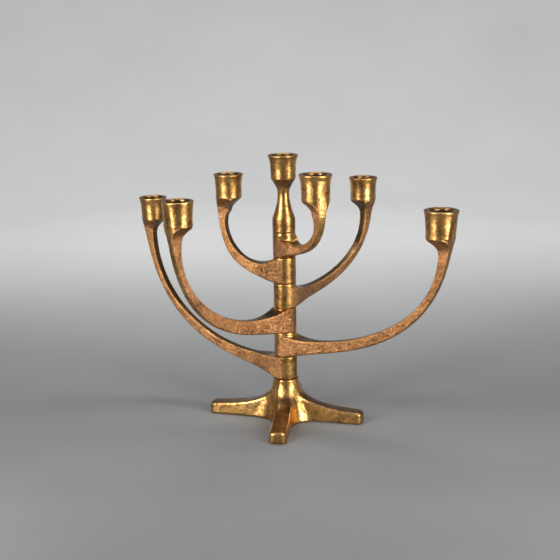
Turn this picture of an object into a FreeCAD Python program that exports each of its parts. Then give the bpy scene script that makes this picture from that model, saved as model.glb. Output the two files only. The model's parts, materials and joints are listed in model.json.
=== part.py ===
import FreeCAD, Part
import math
import os

# Seven-light menorah: a cross-footed base, six swivelling candle arms stacked on one tie rod, and a
# centre cup that screws down on the rod and clamps the stack.
# Millimetres. The origin is on the floor, on the axis of the column, and +Z is up. Each of three feet
# points near an axis: the right foot near +X, the left foot near -X and the front foot near -Y.

# Candle cup, the same on all seven lights. Heights are measured down from the rim.
CANDLE_SOCKET_RADIUS = 11.25
SOCKET_DEPTH = 20.0
MOUTH_RADIUS = 12.4
MOUTH_DEPTH = 1.6
RIM_RADIUS = 16.5
RIM_EDGE = 0.7
FLARE_DEPTH = 12.0
THROAT_RADIUS_OVER_WAIST = 0.6
THROAT_DEPTH = 4.6
CUP_HEIGHT = 25.5

# Tie rod, clamp nut and washer (M8).
ROD_RADIUS = 4.0
ROD_CHAMFER = 0.8
RUNNING_CLEARANCE = 0.08
SWIVEL_BORE_RADIUS = ROD_RADIUS + RUNNING_CLEARANCE
ROD_FOOT_Z = 4.0
ROD_ENGAGEMENT = 28.0
THREAD_HOLE_DEPTH = 31.0
NUT_ACROSS_FLATS = 13.0
NUT_HEIGHT = 6.5
WASHER_RADIUS = 8.5
WASHER_THICKNESS = 1.6
RECESS_RADIUS = 10.0
RECESS_DEPTH = 15.0

# Base casting.
BASE_HEIGHT = 47.0
BASE_TOP_RADIUS = 14.0
FOOT_REACH = 88.0
FOOT_TIP_HEIGHT = 12.2
BASE_CURVE_OUTER = (39.0, 15.0)
BASE_CURVE_INNER = (15.0, 20.5)
FOOT_HALF_WIDTH = 9.9
FOOT_HEADINGS = (-4.0, 94.0, 175.5, 273.5)
FOOT_REACHES = (87.0, 86.0, 88.0, 83.5)
GUSSET_RADIUS_AT_FLOOR = 28.0
TOP_HALF_WIDTH = 6.0
GUSSET_RADIUS_AT_TOP = 12.0

# Column of hubs.
HUB_RADIUS = 12.3
HUB_CHAMFER = 0.5
SEAM_GAP = 0.1

# Arms. The blade is as wide as the hub at its root and narrows to a slim bar.
ARM_HALF_WIDTH = 4.3
ARM_TAPER_END = 52.0
BLADE_ROOT = 8.0
BLADE_IN_CUP = 4.0
CUP_COVE = 16.0
SCOOP_PULL_IN = 0.5
SCOOP_TOP_PULL = 0.3
SCOOP_BOTTOM_PULL = 0.7
NECK_INSET = 1.4
LEAN_START = 5.0

# Each arm, from the bottom of the column upwards. The castings differ a little from one another.
# hub: height of its hub. heading: direction about +Z in degrees. reach: from the column to the cup's
# axis. rise: from the hub's foot up to the rim. cup: size of the cup against the nominal. waist and
# foot: radii of the cup below its flare and at its foot. inset: how far the cup's outer side leans in
# at its foot. shoulder: how far below the hub's top the upper face of the blade leaves the hub. upper
# and lower: the two inner control points of the curves along the blade's upper and lower faces, as
# (distance from the column, height above the hub's foot).
ARMS = {
    "arm_long_low": dict(
        hub=26.0, heading=156.0, reach=185.5, rise=187.0, cup=0.98, waist=14.0, foot=13.4,
        inset=0.3, shoulder=0.8, upper=((103, 12), (184.5, 67)), lower=((58, 15), (180, 10)),
    ),
    "arm_long_high": dict(
        hub=27.5, heading=339.0, reach=182.5, rise=177.0, cup=1.08, waist=15.8, foot=15.4,
        inset=2.9, shoulder=4.0, upper=((42, 12), (181, 39)), lower=((67, 14), (181.5, 20)),
    ),
    "arm_middle_low": dict(
        hub=27.5, heading=231.0, reach=137.5, rise=161.5, cup=0.985, waist=14.8, foot=14.5,
        inset=1.6, shoulder=0.8, upper=((62, 4), (146, 50)), lower=((67, 5), (139.5, 12.5)),
    ),
    "arm_middle_high": dict(
        hub=27.5, heading=59.5, reach=141.0, rise=125.5, cup=1.0, waist=14.8, foot=14.6,
        inset=1.1, shoulder=5.0, upper=((31, 7), (145, 24)), lower=((42, 4), (154.5, 11)),
    ),
    "arm_short_low": dict(
        hub=29.0, heading=165.0, reach=66.5, rise=115.5, cup=0.985, waist=14.3, foot=14.0,
        inset=0.3, shoulder=2.0, upper=((53, 0), (81, 58.5)), lower=((72, 9.5), (77, 37)),
    ),
    "arm_short_high": dict(
        hub=27.5, heading=311.0, reach=65.0, rise=97.0, cup=1.05, waist=15.1, foot=14.6,
        inset=0.3, shoulder=4.0, upper=((13, 7), (82, 23)), lower=((33, 10), (81, 10)),
    ),
}

# Centre cup, heights measured up from its foot.
CENTRE_CUP_HEIGHT = 82.5
CENTRE_CUP_SIZE = 0.99
CENTRE_CUP_WAIST = 13.7
CENTRE_CUP_FOOT = 13.3
BAND_RADIUS = 12.4
BAND_HEIGHT = 14.5
STEM_WAIST_RADIUS = 6.3
STEM_WAIST_HEIGHT = 40.5
STEM_TOP_PULL_IN = 4.5
STEM_TOP_PULL_DOWN = 6.8
STEM_WAIST_PULL_UP = 6.0
STEM_WAIST_PULL_DOWN = 9.5
BAND_PULL_IN = 2.8
BAND_PULL_UP = 7.5

UP = FreeCAD.Vector(0, 0, 1)
CENTRE = FreeCAD.Vector(0, 0, 0)


def point(radius, height):
    """A point in the plane of a profile: x away from the axis, z up."""
    return FreeCAD.Vector(radius, 0, height)


def line(start, end):
    return Part.makeLine(start, end)


def curve(*poles):
    """One Bezier curve through its first and last pole."""
    bezier = Part.BezierCurve()
    bezier.setPoles(list(poles))
    return bezier.toShape()


def face(edges):
    return Part.Face(Part.Wire(edges))


def turned(edges):
    """The solid of revolution of a closed profile about the vertical axis."""
    return face(edges).revolve(CENTRE, UP, 360)


def outline(points):
    """Straight edges through the points and back to the first."""
    return [line(a, b) for a, b in zip(points, points[1:] + points[:1])]


def cup_skin(rim_z, size, waist_radius, foot_radius):
    """The outer edges of a candle cup's profile, from the middle of the rim down to the cup's foot."""
    lip = point(size * RIM_RADIUS - RIM_EDGE, rim_z)
    edge = point(size * RIM_RADIUS, rim_z - RIM_EDGE)
    throat = point(waist_radius + THROAT_RADIUS_OVER_WAIST, rim_z - THROAT_DEPTH)
    waist = point(waist_radius, rim_z - FLARE_DEPTH)
    foot = point(foot_radius, rim_z - size * CUP_HEIGHT)
    return [line(point(0, rim_z), lip), line(lip, edge), curve(edge, throat, waist), line(waist, foot)]


def socket(rim_z):
    """The space inside a candle cup: a round bore with a chamfered mouth."""
    floor_z = rim_z - SOCKET_DEPTH
    mouth_z = rim_z - MOUTH_DEPTH
    return turned(outline([
        point(0, floor_z),
        point(CANDLE_SOCKET_RADIUS, floor_z),
        point(CANDLE_SOCKET_RADIUS, mouth_z),
        point(MOUTH_RADIUS, rim_z),
        point(0, rim_z),
    ]))


def make_hub(height):
    edge = HUB_RADIUS - HUB_CHAMFER
    return turned(outline([
        point(0, 0),
        point(edge, 0),
        point(HUB_RADIUS, HUB_CHAMFER),
        point(HUB_RADIUS, height - HUB_CHAMFER),
        point(edge, height),
        point(0, height),
    ]))


def plan_side(side, reach):
    """One edge of the blade seen from above: as wide as the hub at the root, then slim."""
    wide = side * HUB_RADIUS
    slim = side * ARM_HALF_WIDTH
    taper_end = FreeCAD.Vector(ARM_TAPER_END, slim, 0)
    return [
        curve(
            FreeCAD.Vector(0, wide, 0),
            FreeCAD.Vector(0.3 * ARM_TAPER_END, wide, 0),
            FreeCAD.Vector(0.5 * ARM_TAPER_END, slim, 0),
            taper_end,
        ),
        line(taper_end, FreeCAD.Vector(reach + RIM_RADIUS, slim, 0)),
    ]


def across(side_view, half_width):
    """A side view in the XZ plane carried that far to both sides."""
    view = side_view.copy()
    view.translate(FreeCAD.Vector(0, -half_width, 0))
    return view.extrude(FreeCAD.Vector(0, 2 * half_width, 0))


def make_blade(hub, reach, foot_z, heel, shoulder, upper, lower):
    """The curved bar between hub and cup: its side view, extruded and cut to its plan view."""
    root_top = point(BLADE_ROOT, hub - shoulder)
    root_foot = point(BLADE_ROOT, HUB_CHAMFER)
    neck = point(reach - NECK_INSET, foot_z - CUP_COVE)
    neck_top = point(reach - NECK_INSET, foot_z + BLADE_IN_CUP)
    heel_top = heel + UP * BLADE_IN_CUP
    side_view = face([
        line(point(0, HUB_CHAMFER), point(0, hub - shoulder)),
        line(point(0, hub - shoulder), root_top),
        curve(root_top, point(*upper[0]), point(*upper[1]), neck),
        line(neck, neck_top),
        line(neck_top, heel_top),
        line(heel_top, heel),
        curve(heel, point(*lower[1]), point(*lower[0]), root_foot),
        line(root_foot, point(0, HUB_CHAMFER)),
    ])
    right, left = plan_side(-1, reach), plan_side(1, reach)
    tip_x = reach + RIM_RADIUS
    tip = line(FreeCAD.Vector(tip_x, -ARM_HALF_WIDTH, 0), FreeCAD.Vector(tip_x, ARM_HALF_WIDTH, 0))
    back = line(FreeCAD.Vector(0, HUB_RADIUS, 0), FreeCAD.Vector(0, -HUB_RADIUS, 0))
    plan_view = face(right + [tip] + left[::-1] + [back])
    return across(side_view, HUB_RADIUS).common(plan_view.extrude(UP * (foot_z + CUP_HEIGHT)))


def scoop(foot_radius, bottom_radius, foot_z):
    """The hollow curve under a cup, from its foot in to the bar."""
    return curve(
        point(foot_radius, foot_z),
        point(SCOOP_PULL_IN * foot_radius, foot_z - SCOOP_TOP_PULL * CUP_COVE),
        point(bottom_radius, foot_z - SCOOP_BOTTOM_PULL * CUP_COVE),
        point(bottom_radius, foot_z - CUP_COVE),
    )


def mirrored(edge):
    return edge.mirror(CENTRE, FreeCAD.Vector(1, 0, 0))


def make_tongue(reach, foot_z, foot_radius, heel, lower):
    """The cup carried down its outer side to the bar, scooped away on the inner side and both flanks."""
    cove_z = foot_z - CUP_COVE
    inner = mirrored(scoop(foot_radius, NECK_INSET, foot_z))
    inner.translate(FreeCAD.Vector(reach, 0, 0))
    flank = scoop(foot_radius, ARM_HALF_WIDTH, foot_z)
    front_view = face([
        flank,
        line(point(ARM_HALF_WIDTH, cove_z), point(-ARM_HALF_WIDTH, cove_z)),
        mirrored(flank),
        line(point(-foot_radius, foot_z), point(foot_radius, foot_z)),
    ])
    front_view.rotate(CENTRE, UP, 90)
    front_view.translate(FreeCAD.Vector(reach - 2 * foot_radius, 0, 0))
    flanks = front_view.extrude(FreeCAD.Vector(4 * foot_radius, 0, 0))
    scooped = across(face([
        inner,
        line(point(reach - NECK_INSET, cove_z), point(reach + 2 * foot_radius, cove_z)),
        line(point(reach + 2 * foot_radius, cove_z), point(reach + 2 * foot_radius, foot_z)),
        line(point(reach + 2 * foot_radius, foot_z), point(reach - foot_radius, foot_z)),
    ]), foot_radius)
    above_bar = across(face([
        curve(heel, point(*lower[1]), point(*lower[0]), point(BLADE_ROOT, HUB_CHAMFER)),
        line(point(BLADE_ROOT, HUB_CHAMFER), point(BLADE_ROOT, foot_z)),
        line(point(BLADE_ROOT, foot_z), heel),
    ]), foot_radius)
    drum = Part.makeCylinder(foot_radius, CUP_COVE, FreeCAD.Vector(reach, 0, cove_z))
    return drum.common(flanks).common(scooped).common(above_bar)


def make_arm(hub, reach, rise, cup, waist, foot, inset, shoulder, upper, lower):
    """Hub, blade and candle cup in one casting, at heading 0 with its hub's foot at z = 0."""
    foot_z = rise - cup * CUP_HEIGHT
    heel = point(reach + foot - inset, foot_z)
    skin = cup_skin(rise, cup, waist, foot)
    bowl = turned(skin + [line(point(foot, foot_z), point(0, foot_z)), line(point(0, foot_z), point(0, rise))])
    bowl.translate(FreeCAD.Vector(reach, 0, 0))
    lean_top = point(reach + waist + THROAT_RADIUS_OVER_WAIST, rise - LEAN_START)
    clear = 2 * RIM_RADIUS
    lean = across(face(outline([
        lean_top, heel, heel + FreeCAD.Vector(clear, 0, 0), lean_top + FreeCAD.Vector(clear, 0, 0),
    ])), clear)
    tongue = make_tongue(reach, foot_z, foot, heel, lower)
    blade = make_blade(hub, reach, foot_z, heel, shoulder, upper, lower)
    bore = Part.makeCylinder(SWIVEL_BORE_RADIUS, hub)
    socket_here = socket(rise)
    socket_here.translate(FreeCAD.Vector(reach, 0, 0))
    casting = make_hub(hub).fuse([blade, tongue, bowl.cut(lean)]).removeSplitter()
    return casting.cut(socket_here).cut(bore)


def heading_vector(degrees):
    angle = math.radians(degrees)
    return FreeCAD.Vector(math.cos(angle), math.sin(angle), 0)


def cross_outline(z, half_width, gusset_radius):
    """A closed wire at height z around four feet, with a round gusset between each two of them."""
    lift = UP * z
    edges = []
    for index, heading in enumerate(FOOT_HEADINGS):
        following = (index + 1) % len(FOOT_HEADINGS)
        turn = (FOOT_HEADINGS[following] - heading) % 360
        along = heading_vector(heading)
        left = heading_vector(heading + 90)
        next_along = heading_vector(heading + turn)
        next_right = heading_vector(heading + turn - 90)
        # The gusset is an arc tangent to the two facing sides, with its centre on their bisector.
        middle = heading_vector(heading + 0.5 * turn)
        centre_distance = (half_width + gusset_radius) / math.sin(math.radians(0.5 * turn))
        centre = middle * centre_distance
        arc_start = centre - left * gusset_radius + lift
        arc_middle = middle * (centre_distance - gusset_radius) + lift
        arc_end = centre - next_right * gusset_radius + lift
        tip_right = along * FOOT_REACHES[index] - left * half_width + lift
        tip_left = along * FOOT_REACHES[index] + left * half_width + lift
        next_tip = next_along * FOOT_REACHES[following] + next_right * half_width + lift
        edges.append(line(tip_right, tip_left))
        edges.append(line(tip_left, arc_start))
        edges.append(Part.Arc(arc_start, arc_middle, arc_end).toShape())
        edges.append(line(arc_end, next_tip))
    return Part.Wire(edges)


def make_base():
    """The foot casting: a trumpet-shaped body cut to a cross that narrows upwards, then bored."""
    seat_edge = point(BASE_TOP_RADIUS, BASE_HEIGHT - HUB_CHAMFER)
    seat = point(BASE_TOP_RADIUS - HUB_CHAMFER, BASE_HEIGHT)
    tip = point(FOOT_REACH, FOOT_TIP_HEIGHT)
    trumpet = turned([
        line(CENTRE, point(FOOT_REACH, 0)),
        line(point(FOOT_REACH, 0), tip),
        curve(tip, point(*BASE_CURVE_OUTER), point(*BASE_CURVE_INNER), seat_edge),
        line(seat_edge, seat),
        line(seat, point(0, BASE_HEIGHT)),
        line(point(0, BASE_HEIGHT), CENTRE),
    ])
    at_floor = cross_outline(0.0, FOOT_HALF_WIDTH, GUSSET_RADIUS_AT_FLOOR)
    at_top = cross_outline(BASE_HEIGHT, TOP_HALF_WIDTH, GUSSET_RADIUS_AT_TOP)
    cross = Part.makeLoft([at_floor, at_top], True, True)
    recess = Part.makeCylinder(RECESS_RADIUS, RECESS_DEPTH)
    bore = Part.makeCylinder(SWIVEL_BORE_RADIUS, BASE_HEIGHT)
    return trumpet.common(cross).cut(recess).cut(bore)


def make_centre_cup():
    """The stem and candle cup on top of the column, with a threaded hole up its foot."""
    rim_z = CENTRE_CUP_HEIGHT
    foot_z = rim_z - CENTRE_CUP_SIZE * CUP_HEIGHT
    waist = point(STEM_WAIST_RADIUS, STEM_WAIST_HEIGHT)
    skin = cup_skin(rim_z, CENTRE_CUP_SIZE, CENTRE_CUP_WAIST, CENTRE_CUP_FOOT)
    body = turned(skin + [
        curve(
            point(CENTRE_CUP_FOOT, foot_z),
            point(CENTRE_CUP_FOOT - STEM_TOP_PULL_IN, foot_z - STEM_TOP_PULL_DOWN),
            waist + UP * STEM_WAIST_PULL_UP,
            waist,
        ),
        curve(
            waist,
            waist - UP * STEM_WAIST_PULL_DOWN,
            point(BAND_RADIUS - BAND_PULL_IN, BAND_HEIGHT + BAND_PULL_UP),
            point(BAND_RADIUS, BAND_HEIGHT),
        ),
        line(point(BAND_RADIUS, BAND_HEIGHT), point(HUB_RADIUS, HUB_CHAMFER)),
        line(point(HUB_RADIUS, HUB_CHAMFER), point(HUB_RADIUS - HUB_CHAMFER, 0)),
        line(point(HUB_RADIUS - HUB_CHAMFER, 0), point(0, 0)),
        line(point(0, 0), point(0, rim_z)),
    ])
    hole = Part.makeCylinder(SWIVEL_BORE_RADIUS, THREAD_HOLE_DEPTH)
    return body.cut(socket(rim_z)).cut(hole)


def make_rod(top_z):
    end = ROD_RADIUS - ROD_CHAMFER
    return turned(outline([
        point(0, ROD_FOOT_Z),
        point(end, ROD_FOOT_Z),
        point(ROD_RADIUS, ROD_FOOT_Z + ROD_CHAMFER),
        point(ROD_RADIUS, top_z - ROD_CHAMFER),
        point(end, top_z),
        point(0, top_z),
    ]))


def make_washer():
    disc = Part.makeCylinder(WASHER_RADIUS, WASHER_THICKNESS)
    return disc.cut(Part.makeCylinder(SWIVEL_BORE_RADIUS, WASHER_THICKNESS))


def make_nut():
    corner = 0.5 * NUT_ACROSS_FLATS / math.cos(math.radians(30))
    corners = [
        FreeCAD.Vector(corner * math.cos(turn), corner * math.sin(turn), 0)
        for turn in (math.radians(60 * step) for step in range(6))
    ]
    hexagon = face(outline(corners)).extrude(UP * NUT_HEIGHT)
    return hexagon.cut(Part.makeCylinder(SWIVEL_BORE_RADIUS, NUT_HEIGHT))


def save(shape, name, height=0.0, heading=0.0):
    """Turn a shape to its heading, lift it to its height and write its STEP file."""
    placed = shape.copy()
    placed.rotate(CENTRE, UP, heading)
    placed.translate(UP * height)
    placed.exportStep("parts/" + name + ".step")


os.makedirs("parts", exist_ok=True)
save(make_base(), "base")
washer_z = RECESS_DEPTH - WASHER_THICKNESS
save(make_washer(), "clamp_washer", washer_z)
save(make_nut(), "clamp_nut", washer_z - NUT_HEIGHT)

seam_z = BASE_HEIGHT
for name, arm in ARMS.items():
    casting = make_arm(
        arm["hub"] - SEAM_GAP, arm["reach"], arm["rise"] - SEAM_GAP, arm["cup"], arm["waist"],
        arm["foot"], arm["inset"], arm["shoulder"], arm["upper"], arm["lower"],
    )
    save(casting, name, seam_z + SEAM_GAP, arm["heading"])
    seam_z += arm["hub"]

save(make_centre_cup(), "centre_cup", seam_z + SEAM_GAP)
save(make_rod(seam_z + ROD_ENGAGEMENT), "tie_rod")
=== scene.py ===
import json
import math

import bpy
import numpy as np
from mathutils import Matrix, Vector


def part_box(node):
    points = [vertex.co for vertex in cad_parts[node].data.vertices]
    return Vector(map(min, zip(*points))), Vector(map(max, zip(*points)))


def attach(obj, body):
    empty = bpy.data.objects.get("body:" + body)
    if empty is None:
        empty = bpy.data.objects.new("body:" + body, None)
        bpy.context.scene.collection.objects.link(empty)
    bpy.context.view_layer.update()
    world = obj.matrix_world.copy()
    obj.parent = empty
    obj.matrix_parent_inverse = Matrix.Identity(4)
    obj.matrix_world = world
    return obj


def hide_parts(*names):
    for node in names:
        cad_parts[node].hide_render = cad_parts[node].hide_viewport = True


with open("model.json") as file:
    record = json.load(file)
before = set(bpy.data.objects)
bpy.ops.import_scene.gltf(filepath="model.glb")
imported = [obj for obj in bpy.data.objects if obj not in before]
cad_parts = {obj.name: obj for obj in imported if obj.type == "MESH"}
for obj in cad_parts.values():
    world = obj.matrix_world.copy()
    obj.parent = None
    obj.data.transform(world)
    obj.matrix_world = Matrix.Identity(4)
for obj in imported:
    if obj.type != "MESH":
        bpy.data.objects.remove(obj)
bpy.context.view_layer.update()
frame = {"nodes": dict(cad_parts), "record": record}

# Looks of a seven-light menorah cast in bronze. Each casting is sculpted as a distance field (negative
# inside the metal) in millimetres, in its own frame, and its surface becomes one mesh in metres.
MM = 0.001

# Candle cup, heights measured down from the rim.
SOCKET_RADIUS = 11.25
SOCKET_DEPTH = 20.0
MOUTH_RADIUS = 12.4
MOUTH_DEPTH = 1.6
RIM_RADIUS = 16.5
RIM_EDGE = 0.7
FLARE_DEPTH = 12.0
THROAT_RADIUS_OVER_WAIST = 0.6
THROAT_DEPTH = 4.6
CUP_HEIGHT = 25.5

# The hollow under an arm's cup. The pulls place its curve's control points: inwards as a share of the
# foot's radius, downwards as shares of the hollow's height.
CUP_COVE = 16.0
SCOOP_PULL_IN = 0.5
SCOOP_TOP_PULL = 0.3
SCOOP_BOTTOM_PULL = 0.7
NECK_INSET = 1.4
LEAN_START = 5.0
TONGUE_IN_CUP = 3.0

# Column and arm bar.
BORE_RADIUS = 4.08
HUB_RADIUS = 12.3
HUB_CHAMFER = 0.5
SEAM_GAP = 0.1
ARM_HALF_WIDTH = 4.3
ARM_TAPER_END = 52.0
TAPER_PULLS = (0.3, 0.5)
BLADE_ROOT = 8.0
BLADE_IN_CUP = 4.0

# What differs between the arms: the cup's size, its radii below the flare and at the foot, how far its
# outer side leans in, how far below the hub's top the bar leaves it, and the inner control points of
# the curves along the bar's upper and lower faces, as (out, up) from the hub's foot.
ARMS = {
    "arm_long_low": dict(
        cup=0.98, waist=14.0, foot=13.4, inset=0.3, shoulder=0.8,
        upper=((103, 12), (184.5, 67)), lower=((58, 15), (180, 10)),
    ),
    "arm_long_high": dict(
        cup=1.08, waist=15.8, foot=15.4, inset=2.9, shoulder=4.0,
        upper=((42, 12), (181, 39)), lower=((67, 14), (181.5, 20)),
    ),
    "arm_middle_low": dict(
        cup=0.985, waist=14.8, foot=14.5, inset=1.6, shoulder=0.8,
        upper=((62, 4), (146, 50)), lower=((67, 5), (139.5, 12.5)),
    ),
    "arm_middle_high": dict(
        cup=1.0, waist=14.8, foot=14.6, inset=1.1, shoulder=5.0,
        upper=((31, 7), (145, 24)), lower=((42, 4), (154.5, 11)),
    ),
    "arm_short_low": dict(
        cup=0.985, waist=14.3, foot=14.0, inset=0.3, shoulder=2.0,
        upper=((53, 0), (81, 58.5)), lower=((72, 9.5), (77, 37)),
    ),
    "arm_short_high": dict(
        cup=1.05, waist=15.1, foot=14.6, inset=0.3, shoulder=4.0,
        upper=((13, 7), (82, 23)), lower=((33, 10), (81, 10)),
    ),
}

# Base casting. The two curve points are the inner control points of the line over a foot's top, from
# its tip up to the seat, as (out, up).
BASE_HEIGHT = 47.0
BASE_TOP_RADIUS = 14.0
FOOT_REACH = 88.0
FOOT_TIP_HEIGHT = 12.2
BASE_CURVE_OUTER = (39.0, 15.0)
BASE_CURVE_INNER = (15.0, 20.5)
FOOT_HALF_WIDTH = 9.9
FOOT_HEADINGS = (-4.0, 94.0, 175.5, 273.5)
FOOT_REACHES = (87.0, 86.0, 88.0, 83.5)
GUSSET_AT_FLOOR = 28.0
TOP_HALF_WIDTH = 6.0
GUSSET_AT_TOP = 12.0
RECESS_RADIUS = 10.0
RECESS_DEPTH = 15.0
FOOT_TIP_ROUNDING = 7.0
TOP_EDGE_ROUNDING = 2.6
RECESS_ROUNDING = 1.0

# Centre cup, heights measured up from its foot.
CENTRE_CUP_SIZE = 0.99
CENTRE_CUP_WAIST = 13.7
CENTRE_CUP_FOOT = 13.3
BAND_RADIUS = 12.4
BAND_HEIGHT = 14.5
STEM_WAIST_RADIUS = 6.3
STEM_WAIST_HEIGHT = 40.5
STEM_TOP_PULL_IN = 4.5
STEM_TOP_PULL_DOWN = 6.8
STEM_WAIST_PULL_UP = 6.0
STEM_WAIST_PULL_DOWN = 9.5
BAND_PULL_IN = 2.8
BAND_PULL_UP = 7.5
THREAD_HOLE_DEPTH = 31.0

# Sculpting.
CELL = 0.6
CENTRE_CUP_CELL = 0.5
MARGIN = 2.4
CURVE_STEPS = 28
TABLE_STEP = 0.2
EDGE_ROUNDING = 1.8
HUB_ROUNDING = 1.5
JOIN_ROUNDING = 1.2
LEAN_ROUNDING = 2.0
BORE_ROUNDING = 0.6
FAR = 50.0

# How sharply a surface has to bend, outwards to be worn and carry a painted highlight, and inwards to
# hold grime, from none to full.
WEAR_AND_HIGHLIGHT_BEND = (0.05, 0.14)
GRIME_BEND = (0.06, 0.2)


# ---- outlines and distances -------------------------------------------------------------------------

def bezier(*poles):
    """Points along a cubic Bezier curve."""
    t = np.linspace(0.0, 1.0, CURVE_STEPS)[:, None]
    a, b, c, d = (np.array(pole, float) for pole in poles)
    return (1 - t) ** 3 * a + 3 * (1 - t) ** 2 * t * b + 3 * (1 - t) * t ** 2 * c + t ** 3 * d


def arch(*poles):
    """Points along a quadratic Bezier curve."""
    t = np.linspace(0.0, 1.0, CURVE_STEPS)[:, None]
    a, b, c = (np.array(pole, float) for pole in poles)
    return (1 - t) ** 2 * a + 2 * (1 - t) * t * b + t ** 2 * c


def outline(*stretches):
    return np.vstack([np.atleast_2d(np.array(stretch, float)) for stretch in stretches])


def outline_distance(x, z, corners):
    """Signed distance from points to a closed outline in the plane, negative inside."""
    x, z = np.broadcast_arrays(x, z)
    nearest = np.full(x.shape, np.inf)
    inside = np.zeros(x.shape, bool)
    for (ax, az), (bx, bz) in zip(corners, np.roll(corners, -1, axis=0)):
        run, climb = bx - ax, bz - az
        length_squared = run * run + climb * climb
        if length_squared == 0:
            continue
        share = np.clip(((x - ax) * run + (z - az) * climb) / length_squared, 0, 1)
        gap = (x - ax - share * run) ** 2 + (z - az - share * climb) ** 2
        nearest = np.minimum(nearest, gap)
        if climb != 0:
            crosses = ((az > z) != (bz > z)) & (x < ax + run * (z - az) / climb)
            inside ^= crosses
    return np.where(inside, -1, 1) * np.sqrt(nearest)


def smooth_max(a, b, width):
    """The larger of two distances, with the edge between them rounded."""
    share = np.maximum(width - np.abs(a - b), 0) / width
    return np.maximum(a, b) + share * share * width / 4


def smooth_min(a, b, width):
    return -smooth_max(-a, -b, width)


def step(value, start, end):
    """Goes smoothly from 0 at start to 1 at end."""
    t = np.clip((value - start) / (end - start), 0, 1)
    return t * t * (3 - 2 * t)


# ---- surface of a sampled field ---------------------------------------------------------------------

def surface_of(field, origin, cell):
    """A closed mesh of quads around the negative part of a sampled distance field."""
    cells, crossings = [], []
    for axis in range(3):
        low, high = [slice(None)] * 3, [slice(None)] * 3
        low[axis], high[axis] = slice(0, -1), slice(1, None)
        start, end = field[tuple(low)], field[tuple(high)]
        crossed = (start < 0) != (end < 0)
        place = np.argwhere(crossed)
        start, end = start[crossed], end[crossed]
        point = place.astype(float)
        point[:, axis] += start / (start - end)
        u, v = (axis + 1) % 3, (axis + 2) % 3
        around = np.repeat(place[:, None, :], 4, axis=1)
        around[:, :, u] += np.array([-1, 0, 0, -1])
        around[:, :, v] += np.array([-1, -1, 0, 0])
        entering = start > 0
        around[entering] = around[entering][:, ::-1]
        cells.append(np.ravel_multi_index(np.moveaxis(around, 2, 0), field.shape))
        crossings.append(point)
    cells, crossings = np.vstack(cells), np.vstack(crossings)
    used, index = np.unique(cells.ravel(), return_inverse=True)
    count = np.bincount(index, minlength=len(used))
    points = np.empty((len(used), 3))
    for axis in range(3):
        points[:, axis] = np.bincount(index, np.repeat(crossings[:, axis], 4), len(used)) / count
    return origin + cell * points, index.reshape(-1, 4)


def sculpt(field_of, low, high, cell=CELL):
    """Sample a field over a box and return the surface's points and quads."""
    low, high = np.array(low) - MARGIN, np.array(high) + MARGIN
    x, y, z = (np.arange(low[axis], high[axis] + cell, cell) for axis in range(3))
    field = field_of(x[:, None, None], y[None, :, None], z[None, None, :])
    return surface_of(field, np.array([x[0], y[0], z[0]]), cell)


def lattice_noise(points, size, seed):
    """Smooth noise between -1 and 1 whose bumps are about one size wide."""
    scaled = points / size
    corner = np.floor(scaled).astype(np.int64)
    blend = scaled - corner
    blend = blend * blend * (3 - 2 * blend)
    total = np.zeros(len(points))
    for dx in (0, 1):
        for dy in (0, 1):
            for dz in (0, 1):
                key = (corner[:, 0] + dx) * 73856093 ^ (corner[:, 1] + dy) * 19349663
                key = key ^ (corner[:, 2] + dz) * 83492791 ^ seed * 2654435761
                key = (key ^ (key >> 13)) * 1274126177 & 0xFFFFFFFF
                value = ((key ^ (key >> 16)) & 0xFFFF) / 32767.5 - 1
                weight = np.abs(1 - dx - blend[:, 0]) * np.abs(1 - dy - blend[:, 1])
                total += value * weight * np.abs(1 - dz - blend[:, 2])
    return total


# ---- castings ---------------------------------------------------------------------------------------

def cast_marks(points, seed):
    """Height of the marks that sand and file leave on a bar's side faces."""
    x, y, z = points.T
    slanted = np.stack([0.9 * x + 0.45 * z, y, 0.3 * (0.9 * z - 0.45 * x)], axis=1)
    hatch = lattice_noise(slanted, 2.0, seed)
    pits = lattice_noise(points, 3.2, seed + 1)
    swell = lattice_noise(points, 7.0, seed + 2)
    return 0.07 * hatch + 0.13 * np.minimum(pits, 0.2) + 0.16 * swell


def polish_marks(points, seed):
    """Height of the shallow dents left in the polished faces."""
    dents = lattice_noise(points, 2.8, seed + 3)
    swell = lattice_noise(points, 8.0, seed + 4)
    return 0.045 * dents + 0.08 * swell


def normals_of(points, quads):
    """The outward normal at each point of a mesh of quads."""
    across = points[quads[:, 2]] - points[quads[:, 0]]
    along = points[quads[:, 3]] - points[quads[:, 1]]
    facing = np.cross(across, along)
    normals = np.zeros_like(points)
    for corner in range(4):
        for axis in range(3):
            normals[:, axis] += np.bincount(quads[:, corner], facing[:, axis], len(points))
    return normals / np.linalg.norm(normals, axis=1)[:, None]


def convexity(points, quads, normals, cell):
    """How sharply the surface bends outwards at each point, negative in hollows, per millimetre."""
    total, count = np.zeros_like(points), np.zeros(len(points))
    for corner in range(4):
        here, there = quads[:, corner], quads[:, (corner + 1) % 4]
        count += np.bincount(here, minlength=len(points))
        for axis in range(3):
            total[:, axis] += np.bincount(here, points[there, axis], len(points))
    offset = total / count[:, None] - points
    return -np.einsum("ij,ij->i", offset, normals) / cell ** 2


def place(points, turn, lift):
    """Turn points about +Z to a heading in degrees and lift them."""
    angle = math.radians(turn)
    x, y, z = points.T
    return np.stack([
        x * math.cos(angle) - y * math.sin(angle),
        x * math.sin(angle) + y * math.cos(angle),
        z + lift,
    ], axis=1)


def mesh_object(name, points, quads, material):
    mesh = bpy.data.meshes.new(name)
    mesh.from_pydata(points * MM, [], quads)
    mesh.polygons.foreach_set("use_smooth", np.ones(len(mesh.polygons), bool))
    mesh.materials.append(material)
    mesh.update()
    piece = bpy.data.objects.new(name, mesh)
    bpy.context.scene.collection.objects.link(piece)
    return piece


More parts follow.
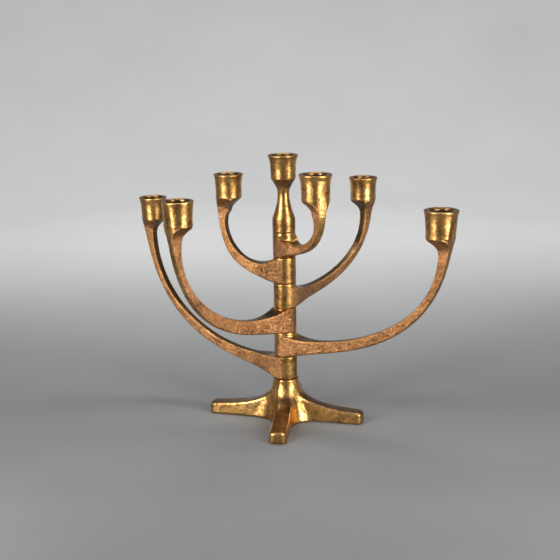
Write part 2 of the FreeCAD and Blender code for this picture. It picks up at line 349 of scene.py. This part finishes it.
def give_attribute(piece, name, values):
    attribute = piece.data.attributes.new(name, "FLOAT", "POINT")
    attribute.data.foreach_set("value", np.asarray(values, np.float32))


def finish_casting(name, points, quads, normals, zones, turn, lift, material):
    """Make the mesh of one casting and store where it is filed, where shade is painted on it, where it is
    worn with a painted highlight and where it is grimy.
    """
    flank, painted_shade_and_patina = zones
    bend = convexity(points, quads, normals, CELL)
    piece = mesh_object(name, place(points, turn, lift), quads, material)
    give_attribute(piece, "flank", flank)
    # Painted shade: inner faces, sockets, lips, the underside of the centre cup and the base's tops are
    # darkened.
    give_attribute(piece, "painted_shade_and_patina", painted_shade_and_patina)
    # Convex edges: wear together with a painted highlight.
    give_attribute(piece, "wear_and_highlight", step(bend, *WEAR_AND_HIGHLIGHT_BEND))
    give_attribute(piece, "grime", step(-bend, *GRIME_BEND))
    return piece


# ---- candle cup -------------------------------------------------------------------------------------

def cup_skin(rim_z, size, waist_radius, foot_radius):
    """The outside of a candle cup in profile, from beyond the axis over the rim down to the foot."""
    lip = (size * RIM_RADIUS - RIM_EDGE, rim_z)
    edge = (size * RIM_RADIUS, rim_z - RIM_EDGE)
    throat = (waist_radius + THROAT_RADIUS_OVER_WAIST, rim_z - THROAT_DEPTH)
    waist = (waist_radius, rim_z - FLARE_DEPTH)
    foot = (foot_radius, rim_z - size * CUP_HEIGHT)
    return outline((-FAR, rim_z), lip, arch(edge, throat, waist), foot)


def socket_outline(rim_z):
    """The candle socket in profile: a round bore with a chamfered mouth."""
    return outline(
        (-FAR, rim_z - SOCKET_DEPTH), (SOCKET_RADIUS, rim_z - SOCKET_DEPTH),
        (SOCKET_RADIUS, rim_z - MOUTH_DEPTH), (MOUTH_RADIUS, rim_z),
        (MOUTH_RADIUS, rim_z + FAR), (-FAR, rim_z + FAR),
    )


def turned_distance(radius, heights, profile):
    """Distance to a turned shape, read from a table of its profile for each radius and height."""
    table_radius = np.arange(0.0, radius.max() + 1.0, TABLE_STEP)
    near = table_radius[:, None] < profile[:, 0].max() + 3 * MARGIN
    table = np.where(near, 0.0, FAR) + np.zeros(len(heights))
    rows = near[:, 0]
    table[rows] = outline_distance(table_radius[rows][:, None], heights[None, :], profile)
    spot = radius / TABLE_STEP
    low = np.floor(spot).astype(int)
    share = (spot - low)[..., None]
    return table[low] * (1 - share) + table[low + 1] * share


def cup_painted_shade(radius, z, rim_z, size):
    """Share from 0 to 1 of the painted shade in a cup's socket and of a painted dark reflection on the
    flat of its lip.
    """
    inside = step(-radius, -MOUTH_RADIUS - 0.4, -MOUTH_RADIUS + 0.4)
    socket = inside * step(z, rim_z - SOCKET_DEPTH - 2, rim_z - SOCKET_DEPTH)
    within_rim = step(-radius, -size * RIM_RADIUS, -size * RIM_RADIUS + 0.8)
    lip = step(z, rim_z - 0.45, rim_z - 0.15) * within_rim
    return np.maximum(socket, 0.8 * lip)


# ---- arm --------------------------------------------------------------------------------------------

def scoop(foot_radius, bottom_radius, foot_z):
    """The hollow curve under a cup, from its foot in to the bar."""
    return bezier(
        (foot_radius, foot_z),
        (SCOOP_PULL_IN * foot_radius, foot_z - SCOOP_TOP_PULL * CUP_COVE),
        (bottom_radius, foot_z - SCOOP_BOTTOM_PULL * CUP_COVE),
        (bottom_radius, foot_z - CUP_COVE),
    )


class Arm:
    """One swivel arm in its own frame: the hub's foot at the origin and the cup along +X."""

    def __init__(self, name, hub, reach, rise):
        shape = ARMS[name]
        self.hub, self.reach, self.rise = hub, reach, rise
        self.cup, self.foot = shape["cup"], shape["foot"]
        self.foot_z = rise - self.cup * CUP_HEIGHT
        self.cove_z = self.foot_z - CUP_COVE
        heel = (reach + self.foot - shape["inset"], self.foot_z)
        heel_top = (heel[0], self.foot_z + BLADE_IN_CUP)
        neck_x = reach - NECK_INSET
        shoulder = hub - shape["shoulder"]
        self.upper = bezier((BLADE_ROOT, shoulder), *shape["upper"], (neck_x, self.cove_z))
        lower = bezier(heel, *shape["lower"][::-1], (BLADE_ROOT, HUB_CHAMFER))
        self.side_view = outline(
            (0, shoulder), self.upper, (neck_x, heel_top[1]), heel_top, lower, (0, HUB_CHAMFER),
        )
        self.plan = bezier(
            (0, HUB_RADIUS), (TAPER_PULLS[0] * ARM_TAPER_END, HUB_RADIUS),
            (TAPER_PULLS[1] * ARM_TAPER_END, ARM_HALF_WIDTH), (ARM_TAPER_END, ARM_HALF_WIDTH),
        )
        self.skin = outline(
            cup_skin(rise, self.cup, shape["waist"], self.foot), (-FAR, self.foot_z),
        )
        lean_x = reach + shape["waist"] + THROAT_RADIUS_OVER_WAIST
        lean_z = rise - LEAN_START
        self.inside_lean = outline(
            (reach - FAR, rise + FAR), (reach + FAR, rise + FAR), (reach + FAR, lean_z),
            (lean_x, lean_z), heel, (reach - FAR, self.foot_z - FAR),
        )
        top = self.foot_z + TONGUE_IN_CUP
        leaning = heel[0] + (lean_x - heel[0]) * TONGUE_IN_CUP / (lean_z - self.foot_z)
        inner = scoop(-self.foot, -NECK_INSET, self.foot_z) + (reach, 0)
        self.scooped = outline(
            inner, (reach + FAR, self.cove_z), (reach + FAR, top), (reach - self.foot, top),
        )
        self.above_bar = outline(lower, (BLADE_ROOT, top), (leaning, top))
        flank = scoop(self.foot, ARM_HALF_WIDTH, self.foot_z)
        self.front_view = outline(flank, (-FAR, self.cove_z), (-FAR, top), (self.foot, top))

    def half_width(self, x):
        return np.interp(x, self.plan[:, 0], self.plan[:, 1])

    def plan_distance(self, x, y):
        slope = self.half_width(x + 0.5) - self.half_width(x - 0.5)
        return (np.abs(y) - self.half_width(x)) / np.sqrt(1 + slope * slope)

    def blade(self, x, y, z):
        side = outline_distance(x, z, self.side_view)
        return smooth_max(side, self.plan_distance(x, y), EDGE_ROUNDING)

    def tongue(self, x, y, z):
        """The cup carried down its outer side to the bar, scooped away on the other sides."""
        along = smooth_max(
            outline_distance(x, z, self.scooped), outline_distance(x, z, self.above_bar), EDGE_ROUNDING,
        )
        flanks = outline_distance(np.abs(y), z, self.front_view)
        drum = np.hypot(x - self.reach, y) - self.foot
        return smooth_max(smooth_max(along, flanks, EDGE_ROUNDING), drum, EDGE_ROUNDING)

    def hub_distance(self, x, y, z):
        ends = np.abs(z - 0.5 * self.hub) - 0.5 * self.hub
        return smooth_max(np.hypot(x, y) - HUB_RADIUS, ends, HUB_ROUNDING)

    def cup_distances(self, x, y, z):
        """The cup's skin and its socket, each as a field; far from the cup both are only large."""
        radius = np.hypot(x - self.reach, y)[..., 0]
        body = turned_distance(radius, z.ravel(), self.skin)
        socket = turned_distance(radius, z.ravel(), socket_outline(self.rise))
        return body, socket

    def field(self, x, y, z):
        skin, socket = self.cup_distances(x, y, z)
        cup = smooth_max(skin, outline_distance(x, z, self.inside_lean), LEAN_ROUNDING)
        metal = smooth_min(self.hub_distance(x, y, z), self.blade(x, y, z), JOIN_ROUNDING)
        under = smooth_min(cup, self.tongue(x, y, z), JOIN_ROUNDING)
        metal = smooth_min(metal, under, JOIN_ROUNDING)
        metal = smooth_max(metal, -socket, JOIN_ROUNDING)
        return smooth_max(metal, BORE_RADIUS - np.hypot(x, y), BORE_ROUNDING)

    def zones(self, points):
        """Shares from 0 to 1 for each point: on a filed side face, and of painted shade on an inner or
        hollow face.
        """
        x, y, z = points.T
        side = outline_distance(np.maximum(x, 1), z, self.side_view)
        plan = self.plan_distance(x, y)
        radius = np.hypot(x - self.reach, y)
        near_cup = radius < self.cup * RIM_RADIUS + 2
        above_foot = step(z, self.foot_z - 0.8, self.foot_z + 0.4) * near_cup
        bar_side = step(-side, -0.3, 0.6) * step(-np.abs(plan), -1.0, -0.5) * step(x, -5, -1)
        from_hollow = np.abs(outline_distance(np.abs(y), z, self.front_view))
        above_cove = step(z, self.cove_z - 1, self.cove_z + 1)
        hollow_side = step(-from_hollow, -1.0, -0.5) * near_cup * above_cove
        flank = np.maximum(bar_side, hollow_side) * (1 - above_foot)
        scoop_line = self.scooped[:CURVE_STEPS]
        from_inner = np.minimum(
            outline_distance(x, z, outline(self.upper, self.upper[::-1])),
            outline_distance(x, z, outline(scoop_line, scoop_line[::-1])),
        )
        # Painted shade along the bar's upper face and in the hollow under the cup.
        inner = step(-from_inner, -1.4, -0.7) * (1 - flank) * (1 - above_foot) * step(x, 9, 20)
        return flank, np.maximum(inner, cup_painted_shade(radius, z, self.rise, self.cup))


def mount_place(name):
    """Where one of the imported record's mounts is, in metres."""
    return next(mount["pos_m"] for mount in frame["record"]["mounts"] if mount["name"] == name)


def make_arm(name, next_foot_z, seed, material):
    low, high = (np.array(corner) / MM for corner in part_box(name))
    cup_x, cup_y = (value / MM for value in mount_place(name + "_candle")[:2])
    arm = Arm(name, next_foot_z - SEAM_GAP - low[2], math.hypot(cup_x, cup_y), high[2] - low[2])
    width = arm.cup * RIM_RADIUS
    points, quads = sculpt(arm.field, (-HUB_RADIUS, -width, 0), (arm.reach + width, width, arm.rise))
    flank, painted_shade_and_patina = arm.zones(points)
    normals = normals_of(points, quads)
    from_axis = np.hypot(points[:, 0], points[:, 1])
    in_hub = step(-from_axis, -HUB_RADIUS - 0.2, -HUB_RADIUS + 1.5)
    hub_end = in_hub * step(np.abs(normals[:, 2]), 0.3, 0.8)
    in_bore = step(-from_axis, -BORE_RADIUS - 1.5, -BORE_RADIUS - 0.5)
    height = flank * cast_marks(points, seed) + (1 - flank) * polish_marks(points, seed)
    marked = points + normals * ((1 - hub_end) * (1 - in_bore) * height)[:, None]
    heading = math.degrees(math.atan2(cup_y, cup_x))
    zones = (flank, painted_shade_and_patina)
    piece = finish_casting(name + "_casting", marked, quads, normals, zones, heading, low[2], material)
    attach(piece, name)
    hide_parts(name)


# ---- base -------------------------------------------------------------------------------------------

def round_union(a, b, radius):
    """The union of two shapes with a round fillet between them."""
    corner = np.hypot(np.maximum(radius - a, 0), np.maximum(radius - b, 0))
    return np.maximum(radius, np.minimum(a, b)) - corner


def cross_distance(x, y, z):
    """Signed distance to four feet with a round gusset between each two, both shrinking upwards."""
    rise = np.clip(z / BASE_HEIGHT, 0, 1)
    half_width = FOOT_HALF_WIDTH + (TOP_HALF_WIDTH - FOOT_HALF_WIDTH) * rise
    gusset = GUSSET_AT_FLOOR + (GUSSET_AT_TOP - GUSSET_AT_FLOOR) * rise
    result = None
    feet = []
    for heading, reach in zip(FOOT_HEADINGS, FOOT_REACHES):
        angle = math.radians(heading)
        along = x * math.cos(angle) + y * math.sin(angle)
        across = np.abs(y * math.cos(angle) - x * math.sin(angle)) - half_width
        foot = smooth_max(smooth_max(across, along - reach, FOOT_TIP_ROUNDING), -along, 1.0)
        feet.append(foot)
    for index, foot in enumerate(feet):
        pair = round_union(foot, feet[(index + 1) % len(feet)], gusset)
        result = pair if result is None else np.minimum(result, pair)
    return result


def base_field(x, y, z):
    seat_edge = (BASE_TOP_RADIUS, BASE_HEIGHT - HUB_CHAMFER)
    trumpet = outline(
        (-FAR, 0), (FOOT_REACH + FAR, 0), (FOOT_REACH + FAR, FOOT_TIP_HEIGHT),
        bezier((FOOT_REACH, FOOT_TIP_HEIGHT), BASE_CURVE_OUTER, BASE_CURVE_INNER, seat_edge),
        (BASE_TOP_RADIUS - HUB_CHAMFER, BASE_HEIGHT), (-FAR, BASE_HEIGHT),
    )
    radius = np.hypot(x, y)
    body = turned_distance(radius[..., 0], z.ravel(), trumpet)
    metal = smooth_max(body, cross_distance(x, y, z), TOP_EDGE_ROUNDING)
    recess = smooth_max(radius - RECESS_RADIUS, z - RECESS_DEPTH, 0.5)
    metal = smooth_max(metal, -recess, RECESS_ROUNDING)
    return smooth_max(metal, BORE_RADIUS - radius, 0.5)


def make_base(seed, material):
    reach = max(FOOT_REACHES) + 2
    points, quads = sculpt(base_field, (-reach, -reach, 0), (reach, reach, BASE_HEIGHT))
    normals = normals_of(points, quads)
    x, y, z = points.T
    radius = np.hypot(x, y)
    fit_face = step(np.abs(normals[:, 2]), 0.6, 0.9) * step(z, BASE_HEIGHT - 1.5, BASE_HEIGHT - 0.3)
    floor_face = step(-normals[:, 2], 0.3, 0.8)
    in_bore = step(-radius, -RECESS_RADIUS - 1.0, -RECESS_RADIUS)
    in_bore = in_bore * step(-z, -BASE_HEIGHT + 8, -BASE_HEIGHT + 12)
    free = (1 - fit_face) * (1 - floor_face) * (1 - in_bore)
    top = step(normals[:, 2], 0.45, 0.75)
    height = 0.8 * cast_marks(points, seed) * (1 - top) + polish_marks(points, seed)
    points = points + normals * (free * height)[:, None]
    points[:, 2] = np.maximum(points[:, 2], 0)
    # Upward faces painted darker: dust together with painted shade.
    zones = (np.zeros(len(points)), 0.8 * top)
    piece = finish_casting("base_casting", points, quads, normals, zones, 0, 0, material)
    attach(piece, "stand")
    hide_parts("base")


# ---- centre cup -------------------------------------------------------------------------------------

def centre_cup_field(height):
    """The field of the stem and cup, turned from one profile around its axis."""
    foot_z = height - CENTRE_CUP_SIZE * CUP_HEIGHT
    waist = np.array((STEM_WAIST_RADIUS, STEM_WAIST_HEIGHT))
    profile = outline(
        cup_skin(height, CENTRE_CUP_SIZE, CENTRE_CUP_WAIST, CENTRE_CUP_FOOT),
        bezier(
            (CENTRE_CUP_FOOT, foot_z),
            (CENTRE_CUP_FOOT - STEM_TOP_PULL_IN, foot_z - STEM_TOP_PULL_DOWN),
            waist + (0, STEM_WAIST_PULL_UP), waist,
        ),
        bezier(
            waist, waist - (0, STEM_WAIST_PULL_DOWN),
            (BAND_RADIUS - BAND_PULL_IN, BAND_HEIGHT + BAND_PULL_UP), (BAND_RADIUS, BAND_HEIGHT),
        ),
        (HUB_RADIUS, HUB_CHAMFER), (HUB_RADIUS - HUB_CHAMFER, 0), (-FAR, 0),
    )
    hole = outline(
        (-FAR, -FAR), (BORE_RADIUS, -FAR),
        (BORE_RADIUS, THREAD_HOLE_DEPTH), (-FAR, THREAD_HOLE_DEPTH),
    )

    def field(x, y, z):
        radius = np.hypot(x, y)[..., 0]
        solid = turned_distance(radius, z.ravel(), profile)
        socket = turned_distance(radius, z.ravel(), socket_outline(height))
        metal = smooth_max(solid, -socket, JOIN_ROUNDING)
        return smooth_max(metal, -turned_distance(radius, z.ravel(), hole), BORE_ROUNDING)

    return field


def make_centre_cup(seed, material):
    low, high = (np.array(corner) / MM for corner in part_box("centre_cup"))
    height = high[2] - low[2]
    lowest, highest = (-RIM_RADIUS, -RIM_RADIUS, 0), (RIM_RADIUS, RIM_RADIUS, height)
    points, quads = sculpt(centre_cup_field(height), lowest, highest, CENTRE_CUP_CELL)
    normals = normals_of(points, quads)
    radius = np.hypot(points[:, 0], points[:, 1])
    free = step(points[:, 2], 0.2, 1.2) * step(radius, BORE_RADIUS + 0.4, BORE_RADIUS + 1.4)
    marked = points + normals * (free * polish_marks(points, seed))[:, None]
    marked[:, 2] = np.minimum(marked[:, 2], height)
    cup_shade = cup_painted_shade(radius, points[:, 2], height, CENTRE_CUP_SIZE)
    # Painted shade on the downward faces under the cup, above the stem's waist.
    above_waist = step(points[:, 2], STEM_WAIST_HEIGHT, STEM_WAIST_HEIGHT + 4)
    under_cup = step(-normals[:, 2], 0.25, 0.5) * above_waist
    zones = (np.zeros(len(points)), np.maximum(cup_shade, 0.7 * under_cup))
    piece = finish_casting("centre_cup_casting", marked, quads, normals, zones, 0, low[2], material)
    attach(piece, "centre_cup")
    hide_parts("centre_cup")


# ---- materials --------------------------------------------------------------------------------------

def new_material(name):
    material = bpy.data.materials.new(name)
    material.use_nodes = True
    nodes = material.node_tree.nodes
    nodes.clear()
    output = nodes.new("ShaderNodeOutputMaterial")
    shader = nodes.new("ShaderNodeBsdfPrincipled")
    material.node_tree.links.new(shader.outputs["BSDF"], output.inputs["Surface"])
    return material, shader


class Graph:
    """Short calls that add nodes to one material."""

    def __init__(self, material):
        self.nodes = material.node_tree.nodes
        self.links = material.node_tree.links
        self.coordinates = self.nodes.new("ShaderNodeTexCoord").outputs["Object"]

    def put(self, value, socket):
        if isinstance(value, bpy.types.NodeSocket):
            self.links.new(value, socket)
        else:
            socket.default_value = value

    def stretched(self, scale, turn=(0, 0, 0)):
        mapping = self.nodes.new("ShaderNodeMapping")
        mapping.inputs["Scale"].default_value = scale
        mapping.inputs["Rotation"].default_value = turn
        self.links.new(self.coordinates, mapping.inputs["Vector"])
        return mapping.outputs["Vector"]

    def noise(self, scale, detail=4.0, roughness=0.55, vector=None, distortion=0.0):
        node = self.nodes.new("ShaderNodeTexNoise")
        node.inputs["Scale"].default_value = scale
        node.inputs["Detail"].default_value = detail
        node.inputs["Roughness"].default_value = roughness
        node.inputs["Distortion"].default_value = distortion
        self.links.new(vector or self.coordinates, node.inputs["Vector"])
        return node.outputs["Fac"]

    def between(self, value, from_low, from_high, to_low=0.0, to_high=1.0):
        node = self.nodes.new("ShaderNodeMapRange")
        for socket, number in zip(node.inputs[1:5], (from_low, from_high, to_low, to_high)):
            socket.default_value = number
        self.links.new(value, node.inputs[0])
        return node.outputs[0]

    def math(self, operation, a, b):
        node = self.nodes.new("ShaderNodeMath")
        node.operation = operation
        self.put(a, node.inputs[0])
        self.put(b, node.inputs[1])
        return node.outputs[0]

    def mix_colours(self, share, a, b):
        node = self.nodes.new("ShaderNodeMix")
        node.data_type = "RGBA"
        self.put(share, node.inputs[0])
        self.put(a, node.inputs[6])
        self.put(b, node.inputs[7])
        return node.outputs[2]

    def attribute(self, name):
        node = self.nodes.new("ShaderNodeAttribute")
        node.attribute_name = name
        return node.outputs["Fac"]

    def bump(self, height, strength, distance, before=None):
        node = self.nodes.new("ShaderNodeBump")
        node.inputs["Strength"].default_value = strength
        node.inputs["Distance"].default_value = distance
        self.links.new(height, node.inputs["Height"])
        if before is not None:
            self.links.new(before, node.inputs["Normal"])
        return node.outputs["Normal"]


def bronze_material():
    """Antique bronze: gold-brown and polished on cups and hubs, coppery and filed on the bars' sides."""
    material, shader = new_material("antique_bronze")
    graph = Graph(material)
    gold = (0.73, 0.405, 0.13, 1)
    brown = (0.20, 0.095, 0.030, 1)
    copper = (0.64, 0.30, 0.115, 1)
    umber = (0.13, 0.062, 0.026, 1)
    # The darkest brown serves both the painted shade and the grime in hollows.
    painted_shade_and_patina = (0.090, 0.052, 0.027, 1)

    flank = graph.attribute("flank")
    painted_shade_share = graph.attribute("painted_shade_and_patina")
    wear_and_highlight = graph.attribute("wear_and_highlight")
    grime = graph.attribute("grime")
    cloud = graph.noise(60, 5, 0.6)
    speckle = graph.noise(300, 6, 0.7)
    patches = graph.between(graph.math("ADD", cloud, speckle), 0.82, 1.14)
    polished = graph.mix_colours(patches, brown, gold)

    hatch = graph.noise(460, 6, 0.7, graph.stretched((0.8, 1, 0.9), (0.5, 0.4, 0.3)), 0.5)
    raw_patches = graph.between(graph.math("ADD", hatch, graph.math("MULTIPLY", cloud, 0.6)), 0.62, 0.96)
    raw = graph.mix_colours(raw_patches, umber, copper)
    colour = graph.mix_colours(flank, polished, raw)
    # Painted shade from the casting's shade attribute.
    colour = graph.mix_colours(graph.math("MULTIPLY", painted_shade_share, 0.85), colour, painted_shade_and_patina)
    colour = graph.mix_colours(graph.math("MULTIPLY", grime, 0.6), colour, painted_shade_and_patina)
    # Convex edges mixed towards gold: wear together with a painted highlight.
    colour = graph.mix_colours(graph.math("MULTIPLY", wear_and_highlight, 0.35), colour, gold)
    graph.put(colour, shader.inputs["Base Color"])

    roughness = graph.between(graph.math("ADD", speckle, cloud), 0.75, 1.25, 0.40, 0.24)
    rougher = graph.math("ADD", roughness, graph.math("MULTIPLY", flank, 0.04))
    graph.put(rougher, shader.inputs["Roughness"])
    shader.inputs["Metallic"].default_value = 1.0

    grain = graph.noise(1100, 5, 0.6)
    relief = graph.math("MULTIPLY", hatch, graph.math("ADD", flank, 0.12))
    normal = graph.bump(grain, 0.35, 0.0003)
    normal = graph.bump(relief, 0.9, 0.0012, normal)
    graph.put(normal, shader.inputs["Normal"])
    return material


def steel_material():
    """Zinc-plated steel of the rod, nut and washer, a little dulled."""
    material, shader = new_material("plated_steel")
    graph = Graph(material)
    cloud = graph.noise(160, 5, 0.6)
    dull, bright = (0.30, 0.29, 0.27, 1), (0.56, 0.56, 0.55, 1)
    colour = graph.mix_colours(graph.between(cloud, 0.35, 0.65), dull, bright)
    graph.put(colour, shader.inputs["Base Color"])
    graph.put(graph.between(cloud, 0.3, 0.7, 0.45, 0.28), shader.inputs["Roughness"])
    shader.inputs["Metallic"].default_value = 1.0
    graph.put(graph.bump(graph.noise(1500, 3), 0.1, 0.0002), shader.inputs["Normal"])
    return material


def studio_material():
    """Matt studio paper, painted mid grey under the object and paler towards the backdrop as a painted
    fall-off of the light.
    """
    material, shader = new_material("studio_paper")
    graph = Graph(material)
    cloud = graph.noise(3, 3)
    patches = graph.between(cloud, 0.3, 0.7)
    # Painted light fall-off: the floor near the object is painted darker than the backdrop.
    floor = graph.mix_colours(patches, (0.125, 0.128, 0.128, 1), (0.145, 0.148, 0.148, 1))
    wall = graph.mix_colours(patches, (0.52, 0.525, 0.52, 1), (0.56, 0.56, 0.555, 1))
    graph.put(graph.mix_colours(graph.attribute("painted_light_falloff"), floor, wall), shader.inputs["Base Color"])
    shader.inputs["Roughness"].default_value = 0.7
    return material


# ---- studio -----------------------------------------------------------------------------------------

CAMERA_HEADING = 11.0
CAMERA_PITCH = 13.84
CAMERA_ROLL = -0.93
CAMERA_PLACE = (0.2152, -1.134, 0.4422)
CAMERA_LENS = 70.16
FLOOR_RADIUS = 1.35
SWEEP_RADIUS = 1.3


def add_camera():
    data = bpy.data.cameras.new("camera")
    data.sensor_width = 36.0
    data.lens = CAMERA_LENS
    data.clip_start = 0.02
    camera = bpy.data.objects.new("camera", data)
    turn = Matrix.Rotation(math.radians(CAMERA_HEADING), 4, "Z")
    tilt = Matrix.Rotation(math.radians(90 - CAMERA_PITCH), 4, "X")
    roll = Matrix.Rotation(math.radians(CAMERA_ROLL), 4, "Z")
    camera.matrix_world = Matrix.Translation(CAMERA_PLACE) @ turn @ tilt @ roll
    bpy.context.scene.collection.objects.link(camera)
    bpy.context.scene.camera = camera


def from_camera_side(bearing, distance, height):
    """A place around the column: bearing 0 is the camera's side and grows to the camera's right."""
    angle = math.radians(CAMERA_HEADING + bearing - 90)
    return Vector((distance * math.cos(angle), distance * math.sin(angle), height))


def add_light(name, place_at, target, width, height, watts, spread):
    data = bpy.data.lights.new(name, "AREA")
    data.shape = "RECTANGLE"
    data.size, data.size_y = width, height
    data.energy = watts
    data.spread = math.radians(spread)
    light = bpy.data.objects.new(name, data)
    light.location = place_at
    light.rotation_euler = (Vector(target) - place_at).to_track_quat("-Z", "Y").to_euler()
    light.visible_camera = False
    bpy.context.scene.collection.objects.link(light)


def add_sweep(material):
    """A round floor that curves up into a wall all the way round, with light painted on it: palest behind
    the object.
    """
    turns, rises = 96, 24
    profile = [(0.1 * FLOOR_RADIUS * index, 0.0) for index in range(1, 11)]
    for index in range(1, rises + 1):
        angle = 0.5 * math.pi * index / rises
        out, up = SWEEP_RADIUS * math.sin(angle), SWEEP_RADIUS * (1 - math.cos(angle))
        profile.append((FLOOR_RADIUS + out, up))
    points = [
        (radius * math.cos(turn), radius * math.sin(turn), height)
        for radius, height in profile
        for turn in (2 * math.pi * index / turns for index in range(turns))
    ]
    faces = [list(range(turns))]
    for ring in range(len(profile) - 1):
        for index in range(turns):
            following = (index + 1) % turns
            start, outer = ring * turns, (ring + 1) * turns
            faces.append([start + index, outer + index, outer + following, start + following])
    mesh = bpy.data.meshes.new("studio_sweep")
    mesh.from_pydata(points, [], faces)
    mesh.polygons.foreach_set("use_smooth", [True] * len(mesh.polygons))
    mesh.materials.append(material)
    sweep = bpy.data.objects.new("studio_sweep", mesh)
    angle = math.radians(CAMERA_HEADING + 90)
    x, y, z = np.array(points).T
    # Painted light: paler behind the object and further out, darker on the floor near it.
    behind = step(x * math.cos(angle) + y * math.sin(angle), 0.0, 1.1) * step(-z, -0.85, -0.5)
    all_round = 0.45 * step(np.hypot(x, y), 0.9, 2.0)
    give_attribute(sweep, "painted_light_falloff", np.maximum(behind, all_round))
    bpy.context.scene.collection.objects.link(sweep)


def add_world():
    world = bpy.data.worlds.new("studio")
    world.use_nodes = True
    background = world.node_tree.nodes["Background"]
    background.inputs["Color"].default_value = (0.9, 0.95, 1.0, 1)
    background.inputs["Strength"].default_value = 0.10
    bpy.context.scene.world = world


def light_studio():
    """Two tall softboxes in front, a strong wash on the backdrop and weak fills on the other sides."""
    middle = (0, 0, 0.17)
    add_light("softbox_left", from_camera_side(-49, 0.70, 0.36), middle, 0.20, 0.66, 5.0, 150)
    add_light("softbox_right", from_camera_side(44, 0.70, 0.36), middle, 0.24, 0.66, 5.0, 150)
    behind = from_camera_side(180, 1.5, 0.1)
    add_light("wash", from_camera_side(180, 0.5, 1.7), behind, 1.6, 0.4, 33, 160)
    for bearing in (0, 90, 270):
        source = from_camera_side(bearing, 1.3, 1.5)
        add_light(f"fill_{bearing}", source, from_camera_side(bearing, 2.5, 0.3), 1.6, 0.4, 7, 160)


# ---- scene ------------------------------------------------------------------------------------------

def main():
    bronze = bronze_material()
    steel = steel_material()
    for node in ("tie_rod", "clamp_nut", "clamp_washer"):
        for slot in frame["nodes"][node].material_slots:
            slot.material = steel
    make_base(11, bronze)
    feet = [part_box(name)[0][2] / MM for name in list(ARMS) + ["centre_cup"]]
    for index, name in enumerate(ARMS):
        make_arm(name, feet[index + 1], 100 + 10 * index, bronze)
    make_centre_cup(29, bronze)
    add_sweep(studio_material())
    add_world()
    light_studio()
    add_camera()
    bpy.context.scene.view_settings.view_transform = "Standard"


main()
